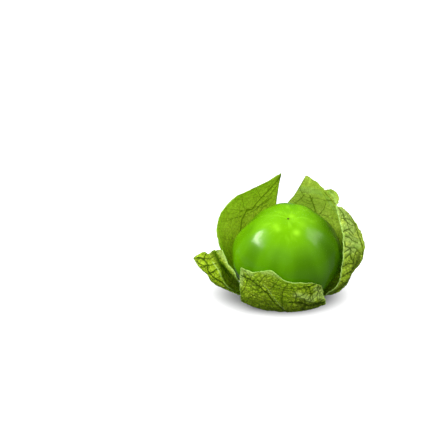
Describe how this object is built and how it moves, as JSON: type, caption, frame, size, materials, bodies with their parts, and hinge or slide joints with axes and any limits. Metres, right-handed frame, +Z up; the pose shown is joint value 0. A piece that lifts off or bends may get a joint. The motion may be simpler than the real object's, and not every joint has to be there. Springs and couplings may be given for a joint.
{
  "type": "tomatillo",
  "caption": "Round green tomatillo berry sitting in its papery husk, which is torn open into leaf-like lobes round it.",
  "frame": {"origin": "on the resting surface, on the flat underside of the front husk lobe, under the middle of the berry", "axes": "+Z up, -Y towards the side that the berry's blossom end leans to, +X to the right seen from that side; the folded husk lobe points to -X"},
  "size_m": [0.0801, 0.0563, 0.0533],
  "materials": {
    "berry_skin": "smooth glossy green fruit skin",
    "husk": "dry papery leaf, matt, veined",
    "stalk": "matt green stalk with a pale cut end"
  },
  "bodies": {
    "root": {"berry": "berry_skin", "husk_lobe_front": "husk", "husk_lobe_front_left": "husk", "husk_lobe_back_left": "husk", "husk_lobe_back_right": "husk", "husk_lobe_right": "husk", "stem_stub": "stalk"}
  },
  "joints": []
}
